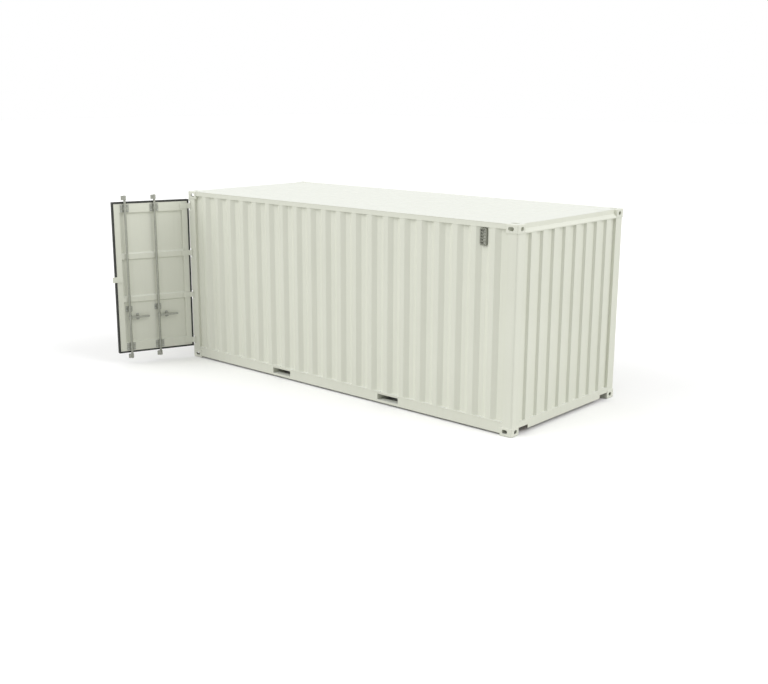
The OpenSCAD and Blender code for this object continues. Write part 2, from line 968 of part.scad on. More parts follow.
module vent_form(margin) {
    intersection() {
        upright(vent_z, vent_z + vent_height)
            vent_plan(margin);
        along_y(0, half_width)
            translate([margin - vent_width / 2, vent_z + margin])
                rounded(vent_width - 2 * margin, vent_height - 2 * margin, vent_radius - margin);
    }
}

module vent() {
    slot = (vent_height - 2 * vent_border) / vent_slots;
    difference() {
        vent_form(vent_seat);
        translate([0, -vent_wall, 0])
            vent_form(vent_wall);
        for (i = [0 : vent_slots - 1])
            block([vent_border - vent_width / 2, wall_inner_d + vent_depth / 2, vent_z + vent_border + (i + 0.2) * slot],
                [vent_width / 2 - vent_border, wall_inner_d + vent_depth + eps, vent_z + vent_border + (i + 0.8) * slot]);
    }
}

module vents() {
    color(moulding)
        for (turn = [0, 180])
            rotate([0, 0, turn])
                on_right()
                    translate([vent_x, 0, 0])
                        vent();
}

// Hinge lugs with their pins
module hinge_lugs() {
    for (z = hinge_heights) {
        for (side = [-1, 1])
            upright(z + side * (knuckle_reach + lug_height / 2) - lug_height / 2,
                z + side * (knuckle_reach + lug_height / 2) + lug_height / 2) {
                translate([pin_x, pin_d])
                    circle(r = knuckle_radius);
                plate([rear_post_x, rebate_d], [pin_x, post_d]);
            }
        translate([pin_x, pin_d, z - pin_reach])
            cylinder(h = 2 * pin_reach, r = pin_radius);
    }
}

module right_hinge_lugs() {
    color(paint)
        on_right()
            at_rear()
                hinge_lugs();
}

module left_hinge_lugs() {
    color(paint)
        at_rear()
            hinge_lugs();
}

// Keeper jaws, a pair for each cam
module keeper_jaws(z0, z1) {
    back = rear_x - recess_depth;
    front = rear_x - keeper_inset;
    half = (recess_half - jaw_half) / 2;
    at_rear()
        for (side = [0, 1])
            mirror([0, side, 0])
                for (offset = bar_offsets)
                    for (jaw = [-1, 1])
                        translate([0, offset + jaw * (jaw_half + half), 0])
                            along_y(-half, half)
                                polygon([[back, z0], [front - keeper_bevel, z0], [front, z0 + keeper_bevel],
                                    [front, z1 - keeper_bevel], [front - keeper_bevel, z1], [back, z1]]);
}

module header_keepers() {
    color(zinc)
        keeper_jaws(casting_top + keeper_inset, casting_top + header_recess - keeper_inset);
}

module sill_keepers() {
    color(zinc)
        keeper_jaws(door_sill_top - sill_recess + keeper_inset, door_sill_top - keeper_inset);
}

// Door frame of square tubes
module door_frame() {
    t = door_tube_wall;
    difference() {
        block([door_inner_x, leaf_mid, leaf_z], [door_x, leaf_d, leaf_top]);
        block([door_inner_x - eps, leaf_mid + stile, leaf_z + door_rail],
            [door_x + eps, leaf_d - stile, leaf_top - door_rail]);
        for (d = [leaf_mid, leaf_d - stile])
            block([door_inner_x + t, d + t, leaf_z + t], [door_x - t, d + stile - t, leaf_top - t]);
        for (z = [leaf_z, leaf_top - door_rail])
            block([door_inner_x + t, leaf_mid + stile + t, z + t],
                [door_x - t, leaf_d - stile - t, z + door_rail - t]);
    }
}

// Door panel with two pressed ribs across it
function panel_line() = concat(
    [[leaf_z + door_rail, panel_x]],
    [for (z = [hinge_heights[1], hinge_heights[2]], p = [
        [-panel_rib_height / 2, 0], [panel_rib_slope - panel_rib_height / 2, panel_rib],
        [panel_rib_height / 2 - panel_rib_slope, panel_rib], [panel_rib_height / 2, 0]
    ]) [z + p[0], panel_x + p[1]]],
    [[leaf_top - door_rail, panel_x]]
);

module door_panel() {
    line = panel_line();
    along_y(leaf_mid + stile, leaf_d - stile)
        polygon([for (p = concat(line, behind(line))) [p[1], p[0]]]);
}

// Door gasket all round a door frame
module gasket_ring(x0, x1, inside, outside) {
    rotate([90, 0, 90])
        translate([0, 0, x0])
            linear_extrude(height = x1 - x0)
                difference() {
                    plate([leaf_mid - outside, leaf_z - outside], [leaf_d + outside, leaf_top + outside]);
                    plate([leaf_mid + inside, leaf_z + inside], [leaf_d - inside, leaf_top - inside]);
                }
}

module door_gasket() {
    gasket_ring(door_inner_x, door_x, 0, gasket_reach - gasket_flap);
    gasket_ring(door_x, door_x + gasket_flap, gasket_cover, gasket_reach);
    gasket_ring(door_inner_x - gasket_lip, door_inner_x, gasket_flap, gasket_reach);
}

// Hinge blades that carry a door on the pins.
// The cranked arm runs midway between the post corner of a shut door and that of an open one.
function turned(p, a) = [p[0] * cos(a) - p[1] * sin(a), p[0] * sin(a) + p[1] * cos(a)];

module blade_plan() {
    shut_corner = [rear_post_x - pin_x, rebate_d - pin_d];
    open_corner = turned([rear_post_x - pin_x, post_d - pin_d], -door_limit);
    along = (shut_corner + open_corner) / norm(shut_corner + open_corner);
    across = [along[1], -along[0]] * blade_arm / 2;
    seat = door_x - pin_x;
    over_flap = seat + gasket_flap + pin_play;
    face = seat + blade_thickness;
    edge = leaf_d - gasket_cover - pin_d;
    polygon([
        [seat, -blade_reach], [seat, edge - gasket_flap], [over_flap, edge],
        across + along * (over_flap - across[0]) / along[0], across,
        -across, along * (face + across[0]) / along[0] - across, [face, -blade_reach]
    ]);
}

module hinge_blades() {
    for (z = hinge_heights)
        translate([pin_x, pin_d, 0])
            upright(z - knuckle_height / 2, z + knuckle_height / 2)
                difference() {
                    union() {
                        circle(r = knuckle_radius);
                        blade_plan();
                    }
                    circle(r = pin_radius + pin_play);
                }
}

// Brackets that guide the lock bars
module bar_guide(face_x) {
    difference() {
        union() {
            translate([bar_x, 0])
                circle(r = bar_radius + bar_play + guide_wall);
            plate([face_x, -bar_radius - bar_play - guide_wall], [bar_x, bar_radius + bar_play + guide_wall]);
        }
        translate([bar_x, 0])
            circle(r = bar_radius + bar_play);
    }
}

module bar_bracket(z, face_x, w, h) {
    upright(z - guide_height / 2, z + guide_height / 2)
        bar_guide(face_x);
    upright(z - h / 2, z + h / 2)
        plate([face_x, -w / 2], [face_x + bracket_plate, w / 2]);
}

module bar_brackets() {
    for (offset = bar_offsets)
        translate([0, offset, 0]) {
            bar_bracket(leaf_z + door_rail / 2 + bracket_inward, door_x, bracket_width, bracket_height);
            bar_bracket(handle_height + bracket_over_handle, panel_x, middle_bracket_width, middle_bracket_height);
            bar_bracket(leaf_top - door_rail / 2 - bracket_inward, door_x, bracket_width, bracket_height);
        }
}

// Catches that hold the handles against the door
module handle_catches() {
    gap = handle_width / 2 + catch_play;
    half = catch_width / 2;
    reach = gap + catch_prong + catch_foot;
    for (offset = bar_offsets)
        translate([0, offset + catch_reach, handle_height]) {
            block([panel_x, -half, -reach], [panel_x + bracket_plate, half, reach]);
            for (side = [0, 1])
                mirror([0, 0, side])
                    block([panel_x + bracket_plate, -half, gap],
                        [bar_x + handle_thickness / 2, half, gap + catch_prong]);
        }
}

// Overlap plate at the free edge of the right-hand door
module overlap_body() {
    z0 = overlap_height - overlap_size / 2;
    z1 = overlap_height + overlap_size / 2;
    lift = door_x + gasket_flap + door_gap;
    block([door_x, leaf_mid + gasket_cover + gasket_flap, z0], [lift, leaf_mid + stile, z1]);
    block([lift, -overlap_reach, z0], [lift + overlap_plate_thickness, leaf_mid + stile, z1]);
}

// Lock bar with a cam at each end
module cam() {
    circle(r = cam_hub);
    translate([0, cam_nose - cam_reach])
        circle(r = cam_nose);
    polygon([[-cam_hub, 0], [-cam_nose, cam_nose - cam_reach], [cam_nose, cam_nose - cam_reach], [cam_hub, 0]]);
}

module lock_bar(offset) {
    translate([bar_x, offset, 0]) {
        translate([0, 0, bar_foot])
            cylinder(h = bar_head - bar_foot, r = bar_radius);
        upright(bar_foot + bar_end, bar_foot + bar_end + cam_height)
            cam();
        upright(bar_head - bar_end - cam_height, bar_head - bar_end)
            cam();
    }
}

// Handle with a hub round its lock bar
module handle(offset) {
    translate([bar_x, offset, handle_height]) {
        difference() {
            union() {
                translate([0, 0, -handle_hub / 2])
                    cylinder(h = handle_hub, r = bar_radius + handle_hub_wall);
                block([-handle_thickness / 2, 0, -handle_width / 2],
                    [handle_thickness / 2, handle_length - handle_width / 2, handle_width / 2]);
                translate([-handle_thickness / 2, handle_length - handle_width / 2, 0])
                    rotate([0, 90, 0])
                        cylinder(h = handle_thickness, r = handle_width / 2);
            }
            translate([0, 0, -handle_hub / 2 - eps])
                cylinder(h = handle_hub + 2 * eps, r = bar_radius);
        }
    }
}

module right_door_frame() {
    color(paint)
        right_leaf()
            door_frame();
}

module right_door_panel() {
    color(paint)
        right_leaf()
            door_panel();
}

module right_door_gasket() {
    color(rubber)
        right_leaf()
            door_gasket();
}

module right_hinge_blades() {
    color(paint)
        right_leaf()
            hinge_blades();
}

module right_bar_brackets() {
    color(zinc)
        right_leaf()
            bar_brackets();
}

module right_handle_catches() {
    color(zinc)
        right_leaf()
            handle_catches();
}

module overlap_plate() {
    color(paint)
        right_leaf()
            overlap_body();
}

module right_inner_bar() {
    color(zinc)
        right_leaf()
            lock_bar(bar_offsets[0]);
}

module right_inner_handle() {
    color(zinc)
        right_leaf()
            handle(bar_offsets[0]);
}

module right_outer_bar() {
    color(zinc)
        right_leaf()
            lock_bar(bar_offsets[1]);
}

module right_outer_handle() {
    color(zinc)
        right_leaf()
            handle(bar_offsets[1]);
}

module left_door_frame() {
    color(paint)
        left_leaf()
            door_frame();
}

module left_door_panel() {
    color(paint)
        left_leaf()
            door_panel();
}

module left_door_gasket() {
    color(rubber)
        left_leaf()
            door_gasket();
}

module left_hinge_blades() {
    color(paint)
        left_leaf()
            hinge_blades();
}

module left_bar_brackets() {
    color(zinc)
        left_leaf()
            bar_brackets();
}

module left_handle_catches() {
    color(zinc)
        left_leaf()
            handle_catches();
}

module left_inner_bar() {
    color(zinc)
        left_leaf()
            lock_bar(bar_offsets[0]);
}

module left_inner_handle() {
    color(zinc)
        left_leaf()
            handle(bar_offsets[0]);
}

module left_outer_bar() {
    color(zinc)
        left_leaf()
            lock_bar(bar_offsets[1]);
}

module left_outer_handle() {
    color(zinc)
        left_leaf()
            handle(bar_offsets[1]);
}

bottom_castings();
top_castings();
bottom_right_rail();
bottom_left_rail();
top_right_rail();
top_left_rail();
front_right_post();
front_left_post();
rear_right_post();
rear_left_post();
front_sill();
front_header();
door_sill();
door_header();
right_side_wall();
left_side_wall();
front_wall();
roof();
roof_corner_plates();
crossmembers();
fork_pockets();
plywood_floor();
vents();
right_hinge_lugs();
left_hinge_lugs();
header_keepers();
sill_keepers();
right_door_frame();
right_door_panel();
right_door_gasket();
right_hinge_blades();
right_bar_brackets();
right_handle_catches();
overlap_plate();
right_inner_bar();
right_inner_handle();
right_outer_bar();
right_outer_handle();
left_door_frame();
left_door_panel();
left_door_gasket();
left_hinge_blades();
left_bar_brackets();
left_handle_catches();
left_inner_bar();
left_inner_handle();
left_outer_bar();
left_outer_handle();
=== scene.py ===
import json
import math

import bmesh
import bpy
from mathutils import Matrix, Vector


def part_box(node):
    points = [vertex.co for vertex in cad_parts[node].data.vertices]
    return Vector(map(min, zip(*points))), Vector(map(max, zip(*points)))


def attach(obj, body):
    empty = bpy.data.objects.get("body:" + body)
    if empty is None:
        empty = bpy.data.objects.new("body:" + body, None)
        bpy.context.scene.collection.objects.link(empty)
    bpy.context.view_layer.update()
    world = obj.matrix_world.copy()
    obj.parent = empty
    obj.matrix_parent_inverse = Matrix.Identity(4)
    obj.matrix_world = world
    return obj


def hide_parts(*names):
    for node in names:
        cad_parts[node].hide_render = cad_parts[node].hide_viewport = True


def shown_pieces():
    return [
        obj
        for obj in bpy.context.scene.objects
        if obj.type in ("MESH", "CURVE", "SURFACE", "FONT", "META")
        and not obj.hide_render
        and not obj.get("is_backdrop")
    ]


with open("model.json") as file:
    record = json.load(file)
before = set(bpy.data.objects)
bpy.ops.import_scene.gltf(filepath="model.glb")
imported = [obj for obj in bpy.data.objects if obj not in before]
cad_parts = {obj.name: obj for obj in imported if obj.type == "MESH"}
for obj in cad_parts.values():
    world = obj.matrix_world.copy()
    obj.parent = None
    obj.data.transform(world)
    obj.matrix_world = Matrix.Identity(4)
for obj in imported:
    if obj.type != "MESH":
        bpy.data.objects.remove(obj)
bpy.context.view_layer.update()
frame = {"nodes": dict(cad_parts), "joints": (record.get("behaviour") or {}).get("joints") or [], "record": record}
nodes = frame["nodes"]
joints = {j["name"]: j for j in frame["joints"]}
scene = bpy.context.scene
scene.view_settings.view_transform = "Standard"
print("frame loaded,", len(nodes), "steel, rubber, timber and plastic parts")


# camera some 4 m up, looking down a little, far enough back for the whole box
cameraView = {"azimuth": 41.46, "elevation": 13.37, "roll": 0.27, "distance": 15.61, "aim": (-0.109, 0.0, 0.482),
              "lens": 49.62, "sensor": 36, "reach": 300}


def towards(azimuth, elevation):  # unit vector from the container, azimuth 0 is -Y, 90 is +X
    a, e = math.radians(azimuth), math.radians(elevation)
    return Vector((math.sin(a) * math.cos(e), -math.cos(a) * math.cos(e), math.sin(e)))


def setCamera(view):
    back = towards(view["azimuth"], view["elevation"])
    right = Vector((0, 0, 1)).cross(back).normalized()
    up = back.cross(right)
    turn = math.radians(view["roll"])
    rolledRight = right * math.cos(turn) + up * math.sin(turn)
    rolledUp = up * math.cos(turn) - right * math.sin(turn)
    camera = bpy.data.objects.new("camera", bpy.data.cameras.new("camera"))
    camera.data.lens = view["lens"]
    camera.data.sensor_width = view["sensor"]
    camera.data.clip_end = view["reach"]
    scene.collection.objects.link(camera)
    place = Matrix((rolledRight, rolledUp, back)).transposed().to_4x4()
    place.translation = Vector(view["aim"]) + back * view["distance"]
    camera.matrix_world = place
    scene.camera = camera


setCamera(cameraView)
print("camera set")


def hexToLinear(code):
    parts = [int(code[i:i + 2], 16) / 255 for i in (1, 3, 5)]
    return tuple(c / 12.92 if c <= 0.04045 else ((c + 0.055) / 1.055) ** 2.4 for c in parts) + (1.0,)


def addNode(tree, kind, settings=None, inputs=None):  # inputs take a plain value or another node's output
    made = tree.nodes.new(kind)
    for name, value in (settings or {}).items():
        setattr(made, name, value)
    for name, value in (inputs or {}).items():
        if isinstance(value, bpy.types.NodeSocket):
            tree.links.new(value, made.inputs[name])
        else:
            made.inputs[name].default_value = value
    return made


def newTree(owner):  # owner is a material or the world
    owner.use_nodes = True
    owner.node_tree.nodes.clear()
    return owner.node_tree


# large softboxes to the left and right and a broad one overhead, a pale room round them
# each lamp is (azimuth, elevation, strength, spread), the room is white to the eye and in reflections
studio = {"roomLight": 0.55, "backdropLight": 1.0, "room": "#ffffff", "floor": "#c5c5c3", "floorGain": 0.98,
          "floorReach": 120.0,
          "lamps": {"leftSoftbox": (-35, 30, 1.1, 50), "rightSoftbox": (115, 30, 1.62, 50),
                    "overheadSoftbox": (-30, 60, 0.9, 100)}}


def hangLamps(look):
    for name, (azimuth, elevation, strength, spread) in look["lamps"].items():
        lamp = bpy.data.lights.new(name, "SUN")
        lamp.energy = strength
        lamp.angle = math.radians(spread)
        holder = bpy.data.objects.new(name, lamp)
        holder.rotation_mode = "QUATERNION"
        holder.rotation_quaternion = towards(azimuth, elevation).to_track_quat("Z", "Y")
        scene.collection.objects.link(holder)


def paintRoom(look):
    world = bpy.data.worlds.new("pale room")
    scene.world = world
    tree = newTree(world)
    colour = hexToLinear(look["room"])
    ray = addNode(tree, "ShaderNodeLightPath")
    seen = addNode(tree, "ShaderNodeMath", {"operation": "MAXIMUM"},
                   {0: ray.outputs["Is Camera Ray"], 1: ray.outputs["Is Glossy Ray"]})
    seen = addNode(tree, "ShaderNodeMath", {"operation": "MAXIMUM"},
                   {0: seen.outputs[0], 1: ray.outputs["Is Transmission Ray"]})
    light = addNode(tree, "ShaderNodeBackground", None, {"Color": colour, "Strength": look["roomLight"]})
    white = addNode(tree, "ShaderNodeBackground", None, {"Color": colour, "Strength": look["backdropLight"]})
    both = addNode(tree, "ShaderNodeMixShader", None,
                   {0: seen.outputs[0], 1: light.outputs[0], 2: white.outputs[0]})
    addNode(tree, "ShaderNodeOutputWorld", None, {"Surface": both.outputs[0]})


def layFloor(look):
    paper = bpy.data.materials.new("matt studio paper")  # seamless roll, seen nearly white with its soft shadow
    tree = newTree(paper)
    ray = addNode(tree, "ShaderNodeLightPath")
    matt = addNode(tree, "ShaderNodeBsdfDiffuse", None, {"Color": hexToLinear(look["floor"])})
    bright = addNode(tree, "ShaderNodeBsdfDiffuse", None, {"Color": (look["floorGain"],) * 3 + (1.0,)})
    both = addNode(tree, "ShaderNodeMixShader", None,
                   {0: ray.outputs["Is Camera Ray"], 1: matt.outputs[0], 2: bright.outputs[0]})
    addNode(tree, "ShaderNodeOutputMaterial", None, {"Surface": both.outputs[0]})
    r = look["floorReach"]
    sheet = bpy.data.meshes.new("studioFloor")
    sheet.from_pydata([(-r, -r, 0), (r, -r, 0), (r, r, 0), (-r, r, 0)], [], [(0, 1, 2, 3)])
    sheet.materials.append(paper)
    floor = bpy.data.objects.new("studioFloor", sheet)
    scene.collection.objects.link(floor)
    floor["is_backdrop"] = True


hangLamps(studio)
paintRoom(studio)
layFloor(studio)
print("studio lit")


def perMetre(millimetres):  # texture scale for a feature of that size
    return 1000 / millimetres


def metres(millimetres):  # height of a bump
    return millimetres / 1000


# sprayed alkyd enamel on rolled steel: satin, thin tone drift, faint rain streaks, gentle waves in the sheet,
# and a greyer, more neutral tone where it looks up, partly weathered chalk and partly painted highlight (the
# washed-out look of a brightly lit top); the orange peel is coarser than real so that it shows
enamel = {"colour": "#dddfd2", "drift": "#d6d8ca", "streak": "#ced0c2", "chalkAndHighlight": "#dadcd5", "ior": 1.5,
          "roughness": 0.42, "roughnessSpread": (-0.05, 0.06), "driftSize": 900,
          "streakWidth": 45, "streakLength": 900, "streakRange": (0.52, 0.85), "streakMost": 0.35,
          "chalkAndHighlightRange": (0.6, 0.95), "chalkDulling": 0.45,  # range is how far up a face looks
          "peelSize": 14, "peelHeight": 0.12, "peelStrength": 0.6, "waveSize": 420, "waveHeight": 0.5}


def streakedColour(tree, place, drift, look):
    tone = addNode(tree, "ShaderNodeMix", {"data_type": "RGBA"},
                   {0: drift, 6: hexToLinear(look["colour"]), 7: hexToLinear(look["drift"])})
    across = perMetre(look["streakWidth"])
    tall = addNode(tree, "ShaderNodeMapping", None,
                   {"Vector": place, "Scale": (across, across, perMetre(look["streakLength"]))})
    streak = addNode(tree, "ShaderNodeTexNoise", None, {"Vector": tall.outputs[0], "Scale": 1.0, "Detail": 4.0})
    start, full = look["streakRange"]
    thin = addNode(tree, "ShaderNodeMapRange", None,
                   {"Value": streak.outputs["Fac"], "From Min": start, "From Max": full,
                    "To Max": look["streakMost"]})
    mixed = addNode(tree, "ShaderNodeMix", {"data_type": "RGBA"},
                    {0: thin.outputs[0], 6: tone.outputs[2], 7: hexToLinear(look["streak"])})
    return mixed.outputs[2]


def sprayedSkin(tree, place, look, grit):
    peel = addNode(tree, "ShaderNodeTexNoise", None,
                   {"Vector": place, "Scale": perMetre(look["peelSize"]), "Detail": 2.0})
    wave = addNode(tree, "ShaderNodeTexNoise", None,
                   {"Vector": place, "Scale": perMetre(look["waveSize"]), "Detail": 1.0})
    slow = addNode(tree, "ShaderNodeBump", None,
                   {"Height": wave.outputs["Fac"], "Distance": metres(look["waveHeight"]), "Strength": 1.0})
    skin = addNode(tree, "ShaderNodeBump", None,
                   {"Height": peel.outputs["Fac"], "Distance": metres(look["peelHeight"]),
                    "Strength": look["peelStrength"], "Normal": slow.outputs[0]})
    if grit:  # rough steel under the paint
        sand = addNode(tree, "ShaderNodeTexNoise", None,
                       {"Vector": place, "Scale": perMetre(grit["size"]), "Detail": 5.0, "Roughness": 0.65})
        skin = addNode(tree, "ShaderNodeBump", None,
                       {"Height": sand.outputs["Fac"], "Distance": metres(grit["height"]), "Strength": 1.0,
                        "Normal": skin.outputs[0]})
    return skin.outputs[0]


def makeEnamel(look, name="sprayed alkyd enamel", grit=None):
    material = bpy.data.materials.new(name)
    tree = newTree(material)
    coords = addNode(tree, "ShaderNodeTexCoord")
    place = coords.outputs["Object"]
    drift = addNode(tree, "ShaderNodeTexNoise", None,
                    {"Vector": place, "Scale": perMetre(look["driftSize"]), "Detail": 3.0, "Roughness": 0.6})
    drift = drift.outputs["Fac"]
    streaked = streakedColour(tree, place, drift, look)
    # faces that look up take the chalk colour: partly weathered chalk, partly a painted highlight standing in for
    # the washed-out lit top
    up = addNode(tree, "ShaderNodeSeparateXYZ", None, {"Vector": coords.outputs["Normal"]})
    start, full = look["chalkAndHighlightRange"]
    chalkAndHighlightMask = addNode(tree, "ShaderNodeMapRange", None,
                     {"Value": up.outputs["Z"], "From Min": start, "From Max": full})
    colour = addNode(tree, "ShaderNodeMix", {"data_type": "RGBA"},
                     {0: chalkAndHighlightMask.outputs[0], 6: streaked, 7: hexToLinear(look["chalkAndHighlight"])})
    smooth, rough = (look["roughness"] + spread for spread in look["roughnessSpread"])
    gloss = addNode(tree, "ShaderNodeMapRange", None, {"Value": drift, "To Min": smooth, "To Max": rough})
    dull = addNode(tree, "ShaderNodeMath", {"operation": "MULTIPLY_ADD"},
                   {0: chalkAndHighlightMask.outputs[0], 1: look["chalkDulling"], 2: gloss.outputs[0]})
    shade = addNode(tree, "ShaderNodeBsdfPrincipled", None,
                    {"Base Color": colour.outputs[2], "Roughness": dull.outputs[0], "IOR": look["ior"],
                     "Normal": sprayedSkin(tree, place, look, grit)})
    addNode(tree, "ShaderNodeOutputMaterial", None, {"Surface": shade.outputs[0]})
    return material


castGrit = {"size": 9, "height": 0.9}  # sand cast, coarse enough to show on the corner castings
weldGrit = {"size": 5, "height": 1.2}  # ripples of a hand welded bead
paint = makeEnamel(enamel)
castPaint = makeEnamel(enamel, "enamel on cast steel", castGrit)
weldPaint = makeEnamel(enamel, "enamel on weld beads", weldGrit)


# hot dip galvanised steel: dull zinc with a cloudy spangle
zinc = {"light": "#b6b8ae", "dark": "#969890", "metallic": 0.85, "roughness": 0.48,
        "roughnessSpread": (-0.07, 0.1), "spangle": 14, "cloud": 120, "baseShare": 0.1, "spangleShare": 0.45,
        "cloudShare": 0.5, "dentHeight": 0.6, "dentStrength": 0.5}
# bright zinc plated fasteners: smoother and paler than the dipped steel, faintly mottled
plated = {**zinc, "light": "#c3c5c0", "dark": "#a9aba5", "metallic": 0.9, "roughness": 0.36, "spangle": 30,
          "cloud": 60}


def makeZinc(look, name):
    material = bpy.data.materials.new(name)
    tree = newTree(material)
    place = addNode(tree, "ShaderNodeTexCoord").outputs["Object"]
    flake = addNode(tree, "ShaderNodeTexVoronoi", None, {"Vector": place, "Scale": perMetre(look["spangle"])})
    cloud = addNode(tree, "ShaderNodeTexNoise", None,
                    {"Vector": place, "Scale": perMetre(look["cloud"]), "Detail": 4.0})
    split = addNode(tree, "ShaderNodeSeparateColor", None, {"Color": flake.outputs["Color"]})
    blend = addNode(tree, "ShaderNodeMath", {"operation": "MULTIPLY_ADD"},
                    {0: split.outputs[0], 1: look["spangleShare"], 2: look["baseShare"]})
    blend = addNode(tree, "ShaderNodeMath", {"operation": "MULTIPLY_ADD"},
                    {0: cloud.outputs["Fac"], 1: look["cloudShare"], 2: blend.outputs[0]})
    colour = addNode(tree, "ShaderNodeMix", {"data_type": "RGBA"},
                     {0: blend.outputs[0], 6: hexToLinear(look["dark"]), 7: hexToLinear(look["light"])})
    smooth, rough = (look["roughness"] + spread for spread in look["roughnessSpread"])
    gloss = addNode(tree, "ShaderNodeMapRange", None,
                    {"Value": split.outputs[1], "To Min": smooth, "To Max": rough})
    dent = addNode(tree, "ShaderNodeBump", None,
                   {"Height": cloud.outputs["Fac"], "Distance": metres(look["dentHeight"]),
                    "Strength": look["dentStrength"]})
    shade = addNode(tree, "ShaderNodeBsdfPrincipled", None,
                    {"Base Color": colour.outputs[2], "Metallic": look["metallic"], "Roughness": gloss.outputs[0],
                     "Normal": dent.outputs[0]})
    addNode(tree, "ShaderNodeOutputMaterial", None, {"Surface": shade.outputs[0]})
    return material


galvanised = makeZinc(zinc, "hot dip galvanised steel")
platedZinc = makeZinc(plated, "zinc plated fasteners")


# extruded EPDM: black-grey and dull, finely pitted, with a dusty bloom
epdm = {"colour": "#2c2d2b", "bloom": "#454640", "roughness": 0.68, "ior": 1.52, "bloomSize": 160,
        "bloomRange": (0.4, 0.8), "pitSize": 6, "pitDepth": 0.4, "pitStrength": 0.5}  # pits coarse enough to show


def makeRubber(look):
    material = bpy.data.materials.new("extruded EPDM rubber")
    tree = newTree(material)
    place = addNode(tree, "ShaderNodeTexCoord").outputs["Object"]
    dust = addNode(tree, "ShaderNodeTexNoise", None,
                   {"Vector": place, "Scale": perMetre(look["bloomSize"]), "Detail": 5.0, "Roughness": 0.65})
    start, full = look["bloomRange"]
    amount = addNode(tree, "ShaderNodeMapRange", None,
                     {"Value": dust.outputs["Fac"], "From Min": start, "From Max": full})
    colour = addNode(tree, "ShaderNodeMix", {"data_type": "RGBA"},
                     {0: amount.outputs[0], 6: hexToLinear(look["colour"]), 7: hexToLinear(look["bloom"])})
    pits = addNode(tree, "ShaderNodeTexNoise", None,
                   {"Vector": place, "Scale": perMetre(look["pitSize"]), "Detail": 2.0})
    skin = addNode(tree, "ShaderNodeBump", None,
                   {"Height": pits.outputs["Fac"], "Distance": metres(look["pitDepth"]),
                    "Strength": look["pitStrength"]})
    shade = addNode(tree, "ShaderNodeBsdfPrincipled", None,
                    {"Base Color": colour.outputs[2], "Roughness": look["roughness"], "IOR": look["ior"],
                     "Normal": skin.outputs[0]})
    addNode(tree, "ShaderNodeOutputMaterial", None, {"Surface": shade.outputs[0]})
    return material


rubber = makeRubber(epdm)


# moulded ABS vent hoods: even grey with a spark eroded grain, drawn coarse enough to show
ventHood = {"colour": "#77796d", "fade": "#85877a", "roughness": 0.55, "ior": 1.54, "fadeSize": 90, "grain": 5,
            "grainHeight": 0.5, "grainStrength": 0.6}


def makeAbs(look):
    material = bpy.data.materials.new("moulded ABS")
    tree = newTree(material)
    place = addNode(tree, "ShaderNodeTexCoord").outputs["Object"]
    fade = addNode(tree, "ShaderNodeTexNoise", None,
                   {"Vector": place, "Scale": perMetre(look["fadeSize"]), "Detail": 3.0})
    colour = addNode(tree, "ShaderNodeMix", {"data_type": "RGBA"},
                     {0: fade.outputs["Fac"], 6: hexToLinear(look["colour"]), 7: hexToLinear(look["fade"])})
    grain = addNode(tree, "ShaderNodeTexNoise", None,
                    {"Vector": place, "Scale": perMetre(look["grain"]), "Detail": 3.0})
    skin = addNode(tree, "ShaderNodeBump", None,
                   {"Height": grain.outputs["Fac"], "Distance": metres(look["grainHeight"]),
                    "Strength": look["grainStrength"]})
    shade = addNode(tree, "ShaderNodeBsdfPrincipled", None,
                    {"Base Color": colour.outputs[2], "Roughness": look["roughness"], "IOR": look["ior"],
                     "Normal": skin.outputs[0]})
    addNode(tree, "ShaderNodeOutputMaterial", None, {"Surface": shade.outputs[0]})
    return material


ventPlastic = makeAbs(ventHood)


# varnished hardwood plywood: brown veneer with long grain and a worn varnish, its dark pores wide enough to show
plywood = {"early": "#a98765", "late": "#8b6a4c", "pore": "#543c29", "roughness": 0.5, "ior": 1.5,
           "grainWidth": 16, "grainLength": 900, "grainWarp": 0.8, "poreWidth": 5, "poreLength": 70,
           "poreRange": (0.58, 0.75), "poreMost": 0.7, "poreDepth": 0.5, "poreStrength": 0.5}


def makePlywood(look):
    material = bpy.data.materials.new("varnished hardwood plywood")
    tree = newTree(material)
    place = addNode(tree, "ShaderNodeTexCoord").outputs["Object"]
    grainWidth, poreWidth = perMetre(look["grainWidth"]), perMetre(look["poreWidth"])
    long = addNode(tree, "ShaderNodeMapping", None,
                   {"Vector": place, "Scale": (perMetre(look["grainLength"]), grainWidth, grainWidth)})
    short = addNode(tree, "ShaderNodeMapping", None,
                    {"Vector": place, "Scale": (perMetre(look["poreLength"]), poreWidth, poreWidth)})
    figure = addNode(tree, "ShaderNodeTexNoise", None,
                     {"Vector": long.outputs[0], "Scale": 1.0, "Detail": 6.0, "Distortion": look["grainWarp"]})
    pores = addNode(tree, "ShaderNodeTexNoise", None, {"Vector": short.outputs[0], "Scale": 1.0, "Detail": 3.0})
    start, full = look["poreRange"]
    fleck = addNode(tree, "ShaderNodeMapRange", None,
                    {"Value": pores.outputs["Fac"], "From Min": start, "From Max": full,
                     "To Max": look["poreMost"]})
    tone = addNode(tree, "ShaderNodeMix", {"data_type": "RGBA"},
                   {0: figure.outputs["Fac"], 6: hexToLinear(look["early"]), 7: hexToLinear(look["late"])})
    colour = addNode(tree, "ShaderNodeMix", {"data_type": "RGBA"},
                     {0: fleck.outputs[0], 6: tone.outputs[2], 7: hexToLinear(look["pore"])})
    skin = addNode(tree, "ShaderNodeBump", None,
                   {"Height": fleck.outputs[0], "Distance": metres(look["poreDepth"]),
                    "Strength": look["poreStrength"]})
    shade = addNode(tree, "ShaderNodeBsdfPrincipled", None,
                    {"Base Color": colour.outputs[2], "Roughness": look["roughness"], "IOR": look["ior"],
                     "Normal": skin.outputs[0]})
    addNode(tree, "ShaderNodeOutputMaterial", None, {"Surface": shade.outputs[0]})
    return material


floorVeneer = makePlywood(plywood)
print("materials made")


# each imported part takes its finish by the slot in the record
finishBySlot = {"container_paint": paint, "galvanised_steel": galvanised, "door_rubber": rubber,
                "floor_plywood": floorVeneer, "vent_plastic": ventPlastic}


